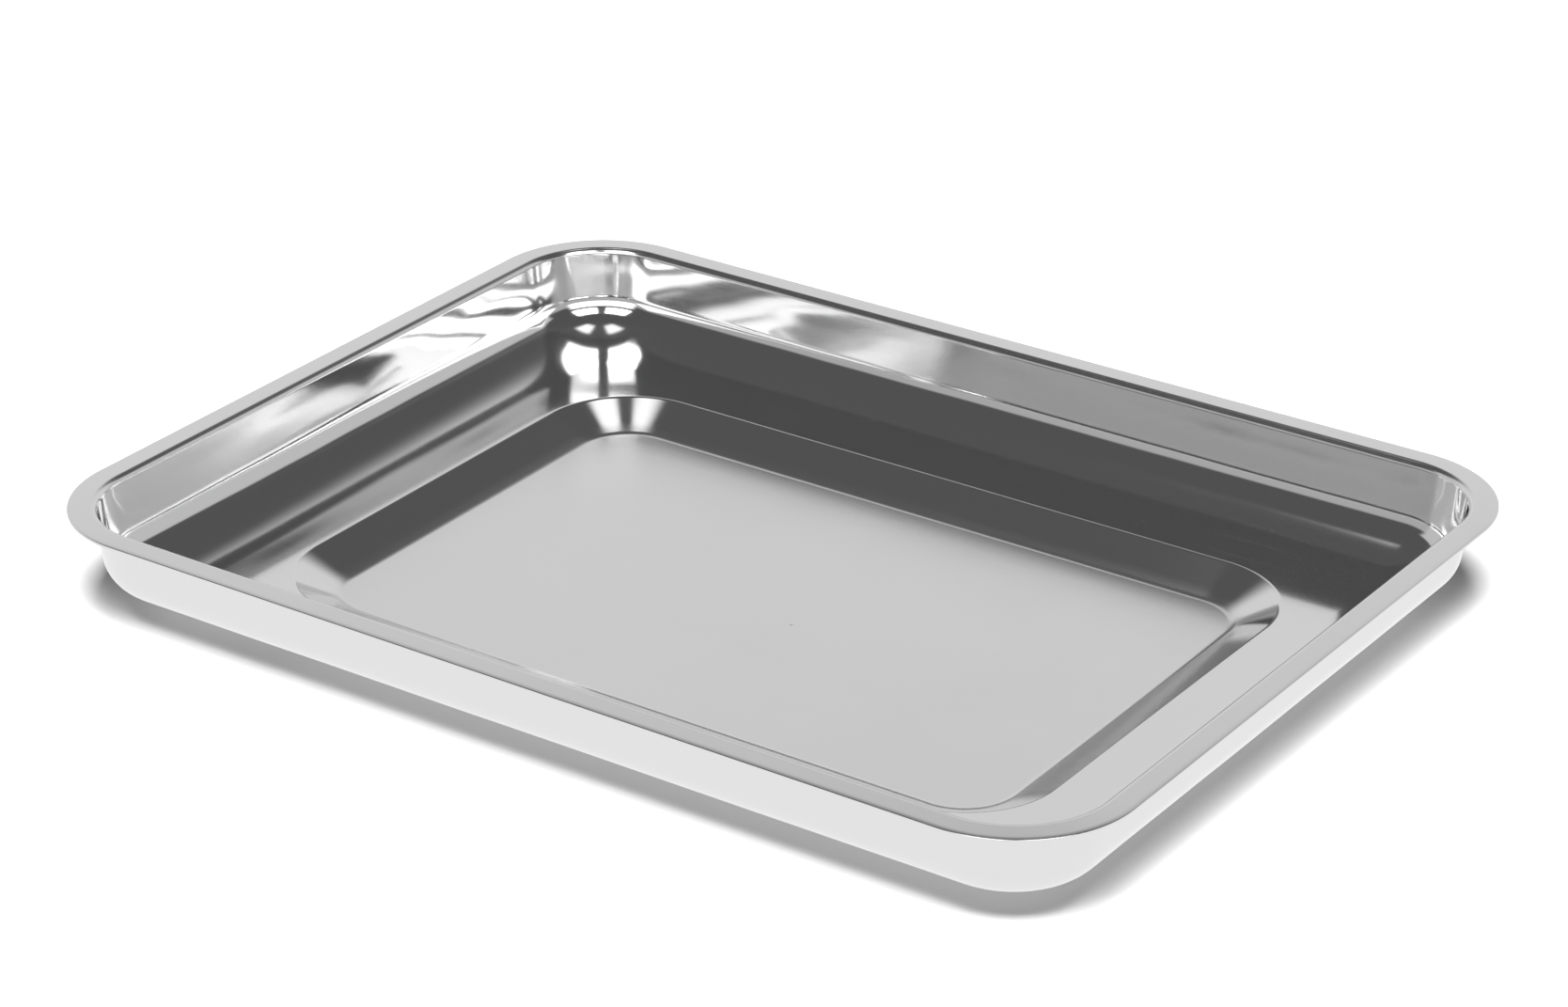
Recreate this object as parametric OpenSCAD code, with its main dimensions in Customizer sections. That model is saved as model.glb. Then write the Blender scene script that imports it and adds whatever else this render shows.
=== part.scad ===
// Shallow rectangular instrument tray, pressed from one stainless sheet.
// Millimetres. The tray stands on z = 0 and its middle is over the origin.
// +X is along the long side, +Z is up.

/* [Outline] */
// Overall length over the rim
tray_len = 308; // [260:1:400]
// Overall width over the rim
tray_wid = 235; // [200:1:300]
// Overall height, from the table to the top of the rim
tray_h = 31.4; // [30:0.2:34]
// Plan radius of the rim corners
corner_r = 32; // [31.6:0.2:38]
// Thickness of the sheet
sheet_t = 0.9; // [0.7:0.1:1.1]

/* [Rim] */
// Width of the flat part of the rim
rim_flat = 5.8; // [5:0.2:7]
// How far the rim droops at its outer edge
rim_droop = 0.2; // [0:0.1:0.6]
// Radius of the bend from the rim into the wall
rim_bend_r = 1.8; // [1.4:0.1:2.2]

/* [Wall] */
// Lean of the upright wall from the vertical, degrees
wall_lean = 7; // [5:0.5:8]
// Depth below the rim where the upright wall starts to curve in
wall_depth = 13.6; // [12:0.2:15]
// Radius of the curve at the foot of the wall
wall_foot_r = 9; // [7:0.5:10]

/* [Ledge] */
// Depth of the flat ledge below the rim
ledge_depth = 24.7; // [24:0.1:26]
// Distance from the outline where the ledge becomes flat
ledge_start = 30.5; // [29:0.1:30.6]
// Distance from the outline where the ledge ends
ledge_end = 40.6; // [38:0.1:46]

/* [Floor well] */
// Radius that rolls the ledge over into the well
well_lip_r = 2.5; // [2:0.1:4]
// Slope of the well's side, degrees
well_slope = 26; // [24:0.5:30]
// Radius of the curve at the foot of the well's side
well_foot_r = 5; // [3:0.5:8]
// Plan radius of the well's corners where the ledge ends
well_corner_r = 26.8; // [26:0.1:32]

/* [Hidden] */
lap = 1;
$fn = 96;

top = tray_h;
floor_z = sheet_t;

// Points of an arc in (inset, z), from slope s0 to slope s1, starting at p.
// Slopes are degrees downhill going inwards.
function arc(p, r, s0, s1, n) =
    let (k = s1 > s0 ? 1 : -1)
    [for (j = [1 : n])
        let (s = s0 + (s1 - s0) * j / n)
        [p[0] + k * r * (sin(s) - sin(s0)),
         p[1] - k * r * (cos(s0) - cos(s))]];

// Normal of a polyline at point j, pointing down and outwards
function seg_n(p, q) =
    let (d = q - p, l = norm(d))
    [d[1] / l, -d[0] / l];

// The polyline moved by t to its lower side
function lower(path, t) =
    let (n = len(path) - 1)
    [for (j = [0 : n])
        let (a = seg_n(path[max(j - 1, 0)], path[max(j, 1)]),
             b = seg_n(path[min(j, n - 1)], path[min(j + 1, n)]),
             m = (a + b) / 2,
             c = m * m)
        path[j] + t * m / c];

function backwards(v) = [for (j = [len(v) - 1 : -1 : 0]) v[j]];

// Upper face of the rim, the wall and the curve down to the ledge
wall_slope = 90 - wall_lean;
ledge_z = top - ledge_depth;
rim_path = [[0, top - rim_droop], [rim_flat, top]];
bend = arc(rim_path[1], rim_bend_r, 0, wall_slope, 8);
bend_end = bend[len(bend) - 1];
wall_end_z = top - wall_depth;
wall_end = [bend_end[0] + (bend_end[1] - wall_end_z) * tan(wall_lean),
            wall_end_z];
// The foot's arc is followed by a wider one that ends flat on the ledge
foot_mid = wall_end + wall_foot_r * [sin(wall_slope), cos(wall_slope)];
spread = ledge_start - foot_mid[0];
shoulder_slope = 2 * atan((foot_mid[1] - wall_foot_r - ledge_z) / spread);
shoulder_r = wall_foot_r + spread / sin(shoulder_slope);
wall_foot = arc(wall_end, wall_foot_r, wall_slope, shoulder_slope, 10);
shoulder = arc(wall_foot[len(wall_foot) - 1], shoulder_r, shoulder_slope, 0, 10);
wall_path = concat(rim_path, bend, [wall_end], wall_foot, shoulder,
                   [[ledge_start + lap, ledge_z]]);

// Upper face of the well: over the lip, down its side and out to the floor
lip = arc([ledge_end, ledge_z], well_lip_r, 0, well_slope, 12);
lip_end = lip[len(lip) - 1];
side_end_z = floor_z + well_foot_r * (1 - cos(well_slope));
side_end = [lip_end[0] + (lip_end[1] - side_end_z) / tan(well_slope), side_end_z];
well_foot = arc(side_end, well_foot_r, well_slope, 0, 6);
floor_in = well_foot[len(well_foot) - 1][0];
well_path = concat([[ledge_end - lap, ledge_z], [ledge_end, ledge_z]],
                   lip, [side_end], well_foot, [[floor_in + lap, floor_z]]);
well_r = ledge_end + well_corner_r;

// A closed band of sheet, as (distance from the corner centre, z)
function band(path, r) =
    [for (p = concat(path, backwards(lower(path, sheet_t)))) [r - p[0], p[1]]];

// Runs a band round a rounded rectangle: four corners and four sides
module ring(pts, r)
{
    hx = tray_len / 2 - r;
    hy = tray_wid / 2 - r;
    at = [[hx, hy], [-hx, hy], [-hx, -hy], [hx, -hy]];
    for (k = [0 : 3])
        translate([at[k][0], at[k][1], 0])
            rotate([0, 0, 90 * k])
                rotate_extrude(angle = 90)
                    polygon(pts);
    for (k = [0 : 3])
        let (run = k % 2 == 0 ? hx : hy, off = k % 2 == 0 ? hy : hx)
            rotate([0, 0, 90 * k])
                translate([-run, off, 0])
                    rotate([90, 0, 90])
                        linear_extrude(height = 2 * run)
                            polygon(pts);
}

// Rounded rectangle, inset from the tray's outline
module plan(inset, r)
{
    x = tray_len / 2 - inset;
    y = tray_wid / 2 - inset;
    union() {
        square([2 * x - 2 * r, 2 * y], center = true);
        square([2 * x, 2 * y - 2 * r], center = true);
        for (sx = [-1, 1])
            for (sy = [-1, 1])
                translate([sx * (x - r), sy * (y - r)])
                    circle(r = r);
    }
}

// Flat ledge between the wall's curve and the well
module ledge()
{
    translate([0, 0, ledge_z - sheet_t])
        linear_extrude(height = sheet_t)
            difference() {
                plan(ledge_start, corner_r - ledge_start);
                plan(ledge_end, well_r - ledge_end);
            }
}

// Flat floor of the well, which the tray stands on
module floor_panel()
{
    linear_extrude(height = sheet_t)
        plan(floor_in, well_r - floor_in);
}

module tray()
{
    color([0.72, 0.72, 0.72])
        union() {
            ring(band(wall_path, corner_r), corner_r);
            ring(band(well_path, well_r), well_r);
            ledge();
            floor_panel();
        }
}

tray();
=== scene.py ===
"""Shallow rectangular instrument tray of polished stainless steel, on a pale table."""

from math import atan, cos, hypot, pi, radians, sin, tan

import bpy
from mathutils import Euler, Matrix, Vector, noise

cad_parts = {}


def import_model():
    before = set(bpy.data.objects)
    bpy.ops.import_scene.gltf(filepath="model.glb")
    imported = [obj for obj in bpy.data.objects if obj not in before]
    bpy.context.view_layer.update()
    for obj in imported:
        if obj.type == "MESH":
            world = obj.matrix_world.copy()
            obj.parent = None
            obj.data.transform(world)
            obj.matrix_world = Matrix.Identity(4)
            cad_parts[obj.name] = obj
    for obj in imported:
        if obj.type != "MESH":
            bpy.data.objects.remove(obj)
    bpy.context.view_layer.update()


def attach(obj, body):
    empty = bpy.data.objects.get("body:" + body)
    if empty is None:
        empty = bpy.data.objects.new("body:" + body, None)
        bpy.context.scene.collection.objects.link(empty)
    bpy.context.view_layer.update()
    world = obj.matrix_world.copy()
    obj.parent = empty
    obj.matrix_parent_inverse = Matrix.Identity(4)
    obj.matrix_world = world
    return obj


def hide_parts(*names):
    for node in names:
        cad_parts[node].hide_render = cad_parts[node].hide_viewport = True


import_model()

# ---------------------------------------------------------------- sizes, in metres
MM = 0.001
tray_len = 308 * MM
tray_wid = 235 * MM
tray_h = 31.4 * MM
corner_r = 32 * MM
sheet_t = 0.9 * MM

rim_flat = 5.8 * MM
rim_droop = 0.2 * MM
rim_bend_r = 1.8 * MM
rim_edge_r = 0.2 * MM

wall_lean = radians(7)
wall_depth = 13.6 * MM
wall_foot_r = 9 * MM
ledge_depth = 24.7 * MM
ledge_start = 30.5 * MM
ledge_end = 40.6 * MM

well_lip_r = 2.5 * MM
well_slope = radians(26)
well_foot_r = 5 * MM
well_corner_r = 26.8 * MM

# How finely the tray is meshed
corner_steps = 32
long_steps = 110
short_steps = 84
rim_edge_steps = 4
end_gap = 0.15 * MM  # a straight stretch has a point this close to each end
smallest_corner_r = 0.2 * MM
floor_ring_shares = (0.005, 0.1, 0.25, 0.4, 0.6, 0.8, 0.95)  # of the way to the middle

# The pressed sheet isn't quite even: how far it wanders, over what length, and
# between which depths below the rim and heights above the table it starts to
wave_height = 0.16 * MM
wave_length = 45 * MM
wave_upright = 1.6  # waves are this many times shorter from top to bottom
ripple_height = 0.4  # of the waves' height
ripples_per_wave = 2.3
ripple_place = Vector((7, 3, 5))
wave_below_rim = (3 * MM, 8 * MM)
wave_above_table = (3 * MM, 9 * MM)


# ---------------------------------------------------------------- the sheet's section
def arc(start, r, s0, s1, steps):
    """Points of an arc in (inset, z) that turns from slope s0 to slope s1."""
    k = 1 if s1 > s0 else -1
    slopes = [s0 + (s1 - s0) * j / steps for j in range(1, steps + 1)]
    return [
        (start[0] + k * r * (sin(s) - sin(s0)), start[1] - k * r * (cos(s0) - cos(s)))
        for s in slopes
    ]


def run(start, end, steps):
    """Points of a straight stretch without its first, close together near its ends."""
    close = end_gap / hypot(end[0] - start[0], end[1] - start[1])
    shares = [close] + [j / steps for j in range(1, steps)] + [1 - close, 1]
    return [
        (start[0] + (end[0] - start[0]) * t, start[1] + (end[1] - start[1]) * t) for t in shares
    ]


def upper_face():
    """The upper face of the sheet, from the rim's outer edge in to the floor panel."""
    ledge_z = tray_h - ledge_depth
    wall_slope = pi / 2 - wall_lean

    path = [(0, tray_h - rim_droop)]
    path += run(path[-1], (rim_flat, tray_h), steps=4)
    path += arc(path[-1], rim_bend_r, 0, wall_slope, steps=16)
    wall_end_z = tray_h - wall_depth
    wall_end = (path[-1][0] + (path[-1][1] - wall_end_z) * tan(wall_lean), wall_end_z)
    path += run(path[-1], wall_end, steps=10)

    # The foot's arc is followed by a wider one that ends flat on the ledge
    foot_mid = (
        wall_end[0] + wall_foot_r * sin(wall_slope),
        wall_end[1] + wall_foot_r * cos(wall_slope),
    )
    spread = ledge_start - foot_mid[0]
    shoulder_slope = 2 * atan((foot_mid[1] - wall_foot_r - ledge_z) / spread)
    shoulder_r = wall_foot_r + spread / sin(shoulder_slope)
    path += arc(path[-1], wall_foot_r, wall_slope, shoulder_slope, steps=16)
    path += arc(path[-1], shoulder_r, shoulder_slope, 0, steps=16)
    path += run(path[-1], (ledge_end, ledge_z), steps=4)

    path += arc(path[-1], well_lip_r, 0, well_slope, steps=10)
    side_end_z = sheet_t + well_foot_r * (1 - cos(well_slope))
    side_end = (path[-1][0] + (path[-1][1] - side_end_z) / tan(well_slope), side_end_z)
    path += run(path[-1], side_end, steps=8)
    path += arc(path[-1], well_foot_r, well_slope, 0, steps=16)
    return path


def lower_face(path):
    """The path moved by the sheet's thickness to its lower side."""
    moved = []
    last = len(path) - 1
    for j, (x, z) in enumerate(path):
        ax, az = path[max(j - 1, 0)]
        bx, bz = path[min(j + 1, last)]
        length = hypot(bx - ax, bz - az)
        moved.append((x + sheet_t * (bz - az) / length, z - sheet_t * (bx - ax) / length))
    return moved


section = upper_face()
floor_in = section[-1][0]


def plan_radius(inset):
    """Corner radius of the tray's plan at a given inset from its outline."""
    well_r = ledge_end + well_corner_r
    if inset <= ledge_start:
        return corner_r - inset
    if inset >= ledge_end:
        return max(well_r - inset, smallest_corner_r)
    share = (inset - ledge_start) / (ledge_end - ledge_start)
    return (corner_r - ledge_start) * (1 - share) + (well_r - ledge_end) * share


def smooth(value, lo, hi):
    """A smooth step from 0 to 1 as the value goes from lo to hi."""
    t = min(max((value - lo) / (hi - lo), 0), 1)
    return t * t * (3 - 2 * t)


def waviness(x, y, z):
    """How far the pressed sheet stands off its true place, sideways."""
    below_rim = smooth(tray_h - z, *wave_below_rim)
    above_floor = smooth(z, *wave_above_table)
    place = Vector((x, y, wave_upright * z)) / wave_length
    ripple = noise.noise(place * ripples_per_wave + ripple_place)
    wander = noise.noise(place) + ripple_height * ripple
    return wave_height * below_rim * above_floor * wander


def outline(inset, z):
    """One closed ring of points round a rounded rectangle."""
    hx = tray_len / 2 - inset
    hy = tray_wid / 2 - inset
    r = plan_radius(inset)
    corners = [(hx - r, hy - r, 0), (r - hx, hy - r, 1), (r - hx, r - hy, 2), (hx - r, r - hy, 3)]
    points = []
    for k, (cx, cy, quarter) in enumerate(corners):
        for j in range(corner_steps + 1):
            a = pi / 2 * (quarter + j / corner_steps)
            x, y = cx + r * cos(a), cy + r * sin(a)
            off = waviness(x, y, z)
            points.append((x + off * cos(a), y + off * sin(a), z))
        ax, ay = x, y
        nx, ny, next_quarter = corners[(k + 1) % 4]
        a = pi / 2 * next_quarter
        bx, by = nx + r * cos(a), ny + r * sin(a)
        steps = long_steps if k % 2 == 0 else short_steps
        for j in range(1, steps):
            sx, sy = ax + (bx - ax) * j / steps, ay + (by - ay) * j / steps
            off = waviness(sx, sy, z)
            points.append((sx + off * cos(a), sy + off * sin(a), z))
    return points


def rounded_edge(z, turn):
    """The rim's outer edge rounded off, from its face to its side.

    turn is +1 for the upper edge and -1 for the lower one.
    """
    r = rim_edge_r
    angles = [pi / 2 * j / rim_edge_steps for j in range(rim_edge_steps + 1)]
    return [(r - r * sin(a), z - turn * (r - r * cos(a))) for a in angles]


def tray_mesh():
    """Rings from the middle of the floor out over the top, and back underneath."""
    top = section
    low = lower_face(section)
    # A rounded edge takes the place of each face's first two points
    top_edge = rounded_edge(top[0][1], 1)
    low_edge = rounded_edge(low[0][1], -1)
    top = top_edge[::-1] + top[2:]
    # The underside is smooth enough with half the rings
    low = low_edge[::-1] + low[2:-1:2] + low[-1:]
    to_middle = tray_wid / 2 - floor_in
    floor_rings = [floor_in + to_middle * share for share in floor_ring_shares]
    rings = [(i, sheet_t) for i in reversed(floor_rings)] + top[::-1] + low
    rings += [(i, 0.0) for i in floor_rings]
    verts = []
    for inset, z in rings:
        verts += outline(inset, z)
    n = len(verts) // len(rings)
    faces = [list(range(n))]
    for k in range(len(rings) - 1):
        for j in range(n):
            a, b = k * n + j, k * n + (j + 1) % n
            faces.append([a, a + n, b + n, b])
    faces.append([(len(rings) - 1) * n + j for j in reversed(range(n))])
    mesh = bpy.data.meshes.new("tray_sheet")
    mesh.from_pydata([Vector(v) for v in verts], [], faces)
    mesh.update()
    mesh.shade_smooth()
    return mesh


# ---------------------------------------------------------------- materials
def node_tree(owner):
    """The owner's node tree, emptied."""
    owner.use_nodes = True
    tree = owner.node_tree
    tree.nodes.clear()
    return tree


class Nodes:
    """Short ways to add and join shader nodes."""

    def __init__(self, tree):
        self.tree = tree

    def add(self, kind, **values):
        node = self.tree.nodes.new(kind)
        for name, value in values.items():
            setattr(node, name, value)
        return node

    def join(self, value, socket):
        if isinstance(value, (int, float)):
            socket.default_value = value
        else:
            self.tree.links.new(value, socket)

    def math(self, op, a, b=0.0):
        node = self.add("ShaderNodeMath", operation=op)
        self.join(a, node.inputs[0])
        self.join(b, node.inputs[1])
        return node.outputs[0]

    def ramp(self, value, lo, hi, start=0.0, end=1.0):
        """A smooth step from start to end as the value goes from lo to hi."""
        node = self.add("ShaderNodeMapRange", interpolation_type="SMOOTHSTEP")
        for socket, v in zip(node.inputs, (value, lo, hi, start, end)):
            self.join(v, socket)
        return node.outputs[0]

    def noise(self, where, scale, stretch=(1, 1, 1), turn=(0, 0, 0), detail=3.0):
        """Noise with its own stretch and turn, as a value from 0 to 1."""
        mapping = self.add("ShaderNodeMapping")
        mapping.inputs["Scale"].default_value = stretch
        mapping.inputs["Rotation"].default_value = turn
        self.join(where, mapping.inputs["Vector"])
        node = self.add("ShaderNodeTexNoise")
        node.inputs["Scale"].default_value = scale
        node.inputs["Detail"].default_value = detail
        self.join(mapping.outputs[0], node.inputs["Vector"])
        return node.outputs[0]

    def near(self, where, place, lo, hi):
        """1 close to a place, falling to 0 from the distance lo to hi."""
        away = self.add("ShaderNodeVectorMath", operation="DISTANCE")
        self.join(where, away.inputs[0])
        away.inputs[1].default_value = place
        return self.ramp(away.outputs["Value"], lo, hi, 1.0, 0.0)


# Where the satin floor and rim change to polished steel, as heights above the table
floor_to_wall = (1.2 * MM, 3 * MM)
wall_to_rim = (tray_h - 1.2 * MM, tray_h - 0.4 * MM)

# Scales of the noise patterns, larger for a finer pattern
cloud_scale = 22
brushing_scale = 60
fine_scale = 900
scratch_scale = 210
scratch_scale_step = 40
patch_scale = 30

# Roughness of polished steel, and what each thing adds to it
polished = 0.05
adds_floor = 0.09
adds_rim = 0.10
adds_cloud = 0.05
adds_fine = 0.03
adds_scratch = 0.08

# Height of the fine relief, in units of relief_unit
relief_unit = 0.02 * MM
relief_strength = 0.35
brushing_on_floor = 0.5
brushing_on_walls = 0.12
scratch_depth = 0.5
dent_depth = 9.0

# Marks of use: three faint dents low on the back side and one on the floor, each with
# its radius, and a rubbed patch towards the back right corner
dents = [
    ((-36 * MM, 94 * MM, 8.3 * MM), 1.5 * MM),
    ((2 * MM, 93 * MM, 8.2 * MM), 1.2 * MM),
    ((27 * MM, 92 * MM, 8.1 * MM), 1.3 * MM),
    ((8 * MM, -8 * MM, 0.9 * MM), 0.9 * MM),
]
rubbed_place = (88 * MM, 92 * MM, 8 * MM)
rubbed_reach = (6 * MM, 20 * MM)
scratches_elsewhere = 0.12
scratch_turns = (0.35, -0.6, 1.2, 2.2)
scratch_cut = (0.71, 0.745)  # the noise values that a line starts and is full at
patch_cut = (0.45, 0.7)


def thin_scratches(n, where):
    """Thin lines in a few directions, dense in the rubbed patch and sparse elsewhere."""
    lines = 0.0
    for k, angle in enumerate(scratch_turns):
        turn = (0.3 * k, 0.2, angle)
        scale = scratch_scale + scratch_scale_step * k
        streaks = n.noise(where, scale, stretch=(0.03, 1, 1), turn=turn, detail=1)
        lines = n.math("ADD", n.ramp(streaks, *scratch_cut), lines)
    patches = n.ramp(n.noise(where, patch_scale, detail=2), *patch_cut)
    rubbed = n.near(where, rubbed_place, *rubbed_reach)
    worn = n.math("ADD", n.math("MULTIPLY", patches, scratches_elsewhere), rubbed)
    return n.math("MULTIPLY", lines, worn)


def steel():
    """Bare steel: the floor and rim are satin, the ledge and walls are polished."""
    mat = bpy.data.materials.new("polished_steel")
    n = Nodes(node_tree(mat))
    where = n.add("ShaderNodeTexCoord").outputs["Object"]
    split = n.add("ShaderNodeSeparateXYZ")
    n.join(where, split.inputs[0])
    height = split.outputs[2]

    on_floor = n.ramp(height, *floor_to_wall, 1.0, 0.0)
    on_rim = n.ramp(height, *wall_to_rim)
    cloud = n.noise(where, cloud_scale, detail=4)
    brushing = n.noise(where, brushing_scale, stretch=(1, 22, 22), detail=5)
    fine = n.noise(where, fine_scale, stretch=(0.05, 1, 1), detail=2)
    scratches = thin_scratches(n, where)

    rough = n.math("MULTIPLY", on_floor, adds_floor)
    for share, amount in (
        (on_rim, adds_rim),
        (cloud, adds_cloud),
        (fine, adds_fine),
        (scratches, adds_scratch),
    ):
        rough = n.math("ADD", rough, n.math("MULTIPLY", share, amount))
    rough = n.math("ADD", rough, polished)

    brushed = n.ramp(height, *floor_to_wall, brushing_on_floor, brushing_on_walls)
    relief = n.math("MULTIPLY", brushing, brushed)
    relief = n.math("SUBTRACT", relief, n.math("MULTIPLY", scratches, scratch_depth))
    for place, size in dents:
        dent = n.math("MULTIPLY", n.near(where, place, 0.0, size), dent_depth)
        relief = n.math("SUBTRACT", relief, dent)
    bump = n.add("ShaderNodeBump")
    bump.inputs["Strength"].default_value = relief_strength
    bump.inputs["Distance"].default_value = relief_unit
    n.join(relief, bump.inputs["Height"])

    shader = n.add("ShaderNodeBsdfPrincipled")
    shader.inputs["Metallic"].default_value = 1.0
    shader.inputs["Base Color"].default_value = (0.77, 0.77, 0.77, 1)
    n.join(rough, shader.inputs["Roughness"])
    n.join(bump.outputs[0], shader.inputs["Normal"])
    out = n.add("ShaderNodeOutputMaterial")
    n.join(shader.outputs["BSDF"], out.inputs["Surface"])
    return mat


def table_top():
    """Pale and matt. Polished things see it evenly lit and without shadows."""
    mat = bpy.data.materials.new("pale_table")
    n = Nodes(node_tree(mat))
    matt = n.add("ShaderNodeBsdfPrincipled")
    matt.inputs["Base Color"].default_value = (0.9, 0.9, 0.9, 1)
    matt.inputs["Roughness"].default_value = 0.9
    lit = n.add("ShaderNodeEmission")
    lit.inputs["Strength"].default_value = table_in_reflections
    mix = n.add("ShaderNodeMixShader")
    n.join(n.add("ShaderNodeLightPath").outputs["Is Glossy Ray"], mix.inputs[0])
    n.join(matt.outputs["BSDF"], mix.inputs[1])
    n.join(lit.outputs[0], mix.inputs[2])
    out = n.add("ShaderNodeOutputMaterial")
    n.join(mix.outputs[0], out.inputs["Surface"])
    return mat


# ---------------------------------------------------------------- the tray
tray = bpy.data.objects.new("tray_shell", tray_mesh())
bpy.context.scene.collection.objects.link(tray)
tray.data.materials.append(steel())
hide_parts("tray")
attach(tray, "root")

# ---------------------------------------------------------------- the stage
table_half = 4.0
table_in_reflections = 1.0  # brightness
floor_mesh = bpy.data.meshes.new("table")
floor_mesh.from_pydata(
    [(x * table_half, y * table_half, 0) for x, y in ((-1, -1), (1, -1), (1, 1), (-1, 1))],
    [],
    [(0, 1, 2, 3)],
)
table = bpy.data.objects.new("table", floor_mesh)
bpy.context.scene.collection.objects.link(table)
floor_mesh.materials.append(table_top())

# The view, which also says how the screens stand round the tray
camera_azimuth = radians(34.70)
camera_elevation = radians(25.79)
camera_distance = 1.138
camera_aim = Vector((0.0018, -0.0023, tray_h))
camera_focal = 103.5

# What the steel sees round it, in degrees. low and high are heights above level; near
# and far are turns to the left or right, from the way the camera looks along the table.
# Each pair is (angle, softness).
reflected = {
    "backdrop": dict(low=(-20, 1), high=(37, 7), near=(-30, 1), far=(54, 10), level=0.86),
    "far_sides": dict(low=(-20, 1), high=(35, 2), near=(54, 10), far=(92, 5), level=0.66),
    "near_sides": dict(low=(-20, 1), high=(22, 3), near=(92, 5), far=(200, 1), level=0.48),
    "front_screen": dict(low=(13, 2), high=(31, 2), near=(132, 6), far=(200, 1), level=2.4),
    "softboxes": dict(low=(38, 2), high=(58, 3), near=(130, 3), far=(172, 2), level=6.0),
    "top_lights": dict(low=(66, 2), high=(77, 2), near=(14, 4), far=(40, 4), level=1.6),
}
dim_room = 0.13
light_on_table = 0.06
light_in_view = 1.0


# ---------------------------------------------------------------- light
def world():
    """Soft screens and lights for the steel to reflect, and a plain white surround."""
    scene_world = bpy.data.worlds.new("studio")
    bpy.context.scene.world = scene_world
    n = Nodes(node_tree(scene_world))

    def between(value, lo, hi):
        """1 between two angles, with a soft edge at each."""
        rise = n.ramp(value, lo[0] - lo[1], lo[0] + lo[1])
        fall = n.ramp(value, hi[0] - hi[1], hi[0] + hi[1], 1.0, 0.0)
        return n.math("MULTIPLY", rise, fall)

    where = n.add("ShaderNodeTexCoord").outputs["Generated"]
    turned = n.add("ShaderNodeVectorRotate", rotation_type="Z_AXIS")
    turned.inputs["Angle"].default_value = -camera_azimuth
    n.join(where, turned.inputs["Vector"])
    split = n.add("ShaderNodeSeparateXYZ")
    n.join(turned.outputs[0], split.inputs[0])
    elevation = n.math("MULTIPLY", n.math("ARCSINE", split.outputs[2]), 180 / pi)
    sideways = n.math("ARCTAN2", split.outputs[0], split.outputs[1])
    sideways = n.math("MULTIPLY", n.math("ABSOLUTE", sideways), 180 / pi)

    total = dim_room
    for screen in reflected.values():
        shape = n.math(
            "MULTIPLY",
            between(elevation, screen["low"], screen["high"]),
            between(sideways, screen["near"], screen["far"]),
        )
        total = n.math("ADD", n.math("MULTIPLY", shape, screen["level"]), total)

    def light(strength):
        node = n.add("ShaderNodeBackground")
        n.join(strength, node.inputs["Strength"])
        return node.outputs[0]

    def either(share, a, b):
        node = n.add("ShaderNodeMixShader")
        n.join(share, node.inputs[0])
        n.join(a, node.inputs[1])
        n.join(b, node.inputs[2])
        return node.outputs[0]

    # Reflections show the screens, other surfaces get even light, and the view is plain white
    path = n.add("ShaderNodeLightPath")
    lighting = either(path.outputs["Is Glossy Ray"], light(light_on_table), light(total))
    shown = either(path.outputs["Is Camera Ray"], lighting, light(light_in_view))
    out = n.add("ShaderNodeOutputWorld")
    n.join(shown, out.inputs["Surface"])


def lamp(name, place, aim, size, power):
    """A soft lamp that only lights matt surfaces."""
    light = bpy.data.lights.new(name, "AREA")
    light.shape = "RECTANGLE"
    light.size, light.size_y = size
    light.energy = power
    ob = bpy.data.objects.new(name, light)
    ob.location = place
    ob.rotation_euler = (Vector(aim) - Vector(place)).to_track_quat("-Z", "Y").to_euler()
    ob.visible_glossy = False
    ob.visible_camera = False
    bpy.context.scene.collection.objects.link(ob)


world()
lamp("overhead", place=(0.52, -0.80, 1.60), aim=(0, 0, 0), size=(0.80, 0.80), power=95)

# ---------------------------------------------------------------- camera
cam_data = bpy.data.cameras.new("camera")
cam_data.lens = camera_focal
cam_data.sensor_width = 36
cam_data.clip_end = 50
camera = bpy.data.objects.new("camera", cam_data)
towards = Vector(
    (
        -sin(camera_azimuth) * cos(camera_elevation),
        cos(camera_azimuth) * cos(camera_elevation),
        -sin(camera_elevation),
    )
)
camera.location = camera_aim - towards * camera_distance
camera.rotation_euler = Euler((pi / 2 - camera_elevation, 0, camera_azimuth))
bpy.context.scene.collection.objects.link(camera)
bpy.context.scene.camera = camera
bpy.context.scene.view_settings.view_transform = "Standard"
